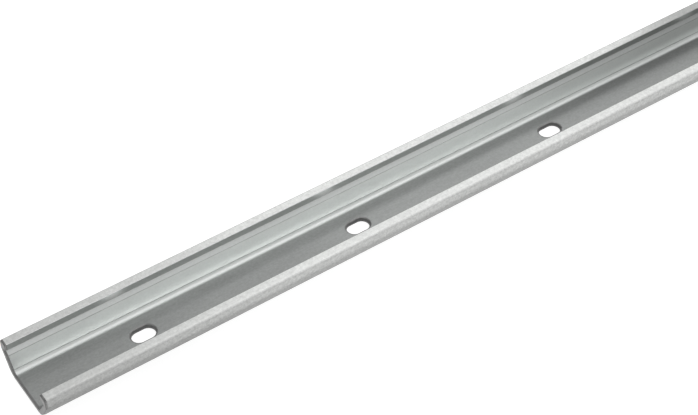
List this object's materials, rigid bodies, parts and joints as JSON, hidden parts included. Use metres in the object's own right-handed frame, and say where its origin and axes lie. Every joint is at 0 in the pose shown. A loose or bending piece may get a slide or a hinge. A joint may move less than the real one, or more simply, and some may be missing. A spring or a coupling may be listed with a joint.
{
  "type": "aluminium extrusion profile",
  "caption": "Straight C-shaped aluminium track with outward-leaning sides, inturned lips over undercut races and a row of round-ended slots along its flat web.",
  "frame": {"origin": "centre of the flat underside of the web, halfway along the length", "axes": "+X along the track, away from the sawn end seen in the picture, +Y across it towards the side far from the camera, +Z out of the open mouth"},
  "size_m": [1, 0.036, 0.015],
  "materials": {
    "mill_aluminium": "bare mill finish, fine lengthwise grain, matt on the outside"
  },
  "bodies": {
    "root": {"track_profile": "mill_aluminium"}
  },
  "joints": []
}
